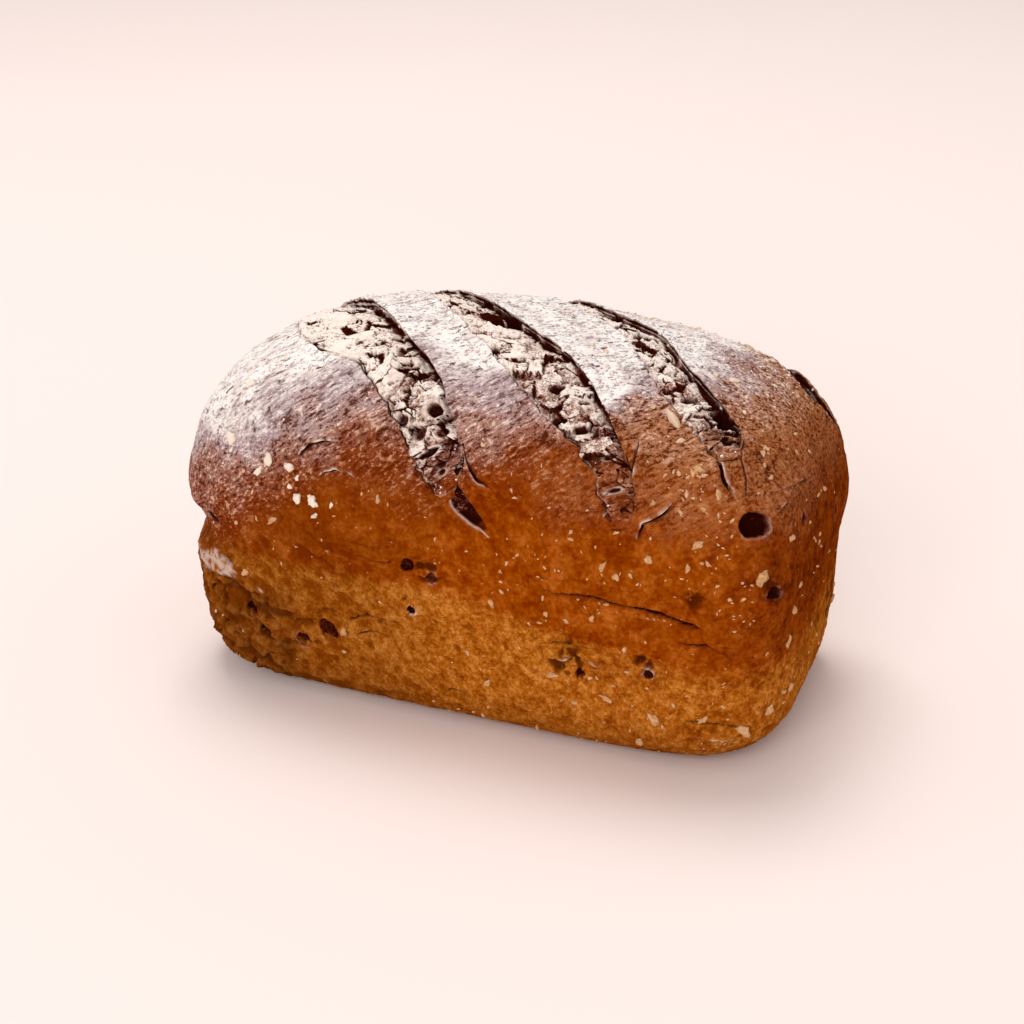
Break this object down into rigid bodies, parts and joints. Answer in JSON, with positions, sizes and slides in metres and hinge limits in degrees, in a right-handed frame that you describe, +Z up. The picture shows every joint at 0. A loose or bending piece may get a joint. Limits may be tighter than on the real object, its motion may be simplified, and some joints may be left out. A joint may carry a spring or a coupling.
{
  "type": "brown tin loaf of bread",
  "caption": "Whole gluten-free brown tin loaf: a domed, diagonally slashed top dusted with flour over straight tin-pressed sides, with oat flakes and grains on the crust.",
  "frame": {"origin": "on the ground under the middle of the loaf", "axes": "+X along the loaf, +Y across it away from the side that is seen, +Z up"},
  "size_m": [0.202, 0.111, 0.1216],
  "materials": {
    "crust": "baked brown bread crust: dull, golden where the tin pressed it, darker at the belt, dusted with flour on top"
  },
  "bodies": {
    "root": {"loaf": "crust"}
  },
  "joints": []
}
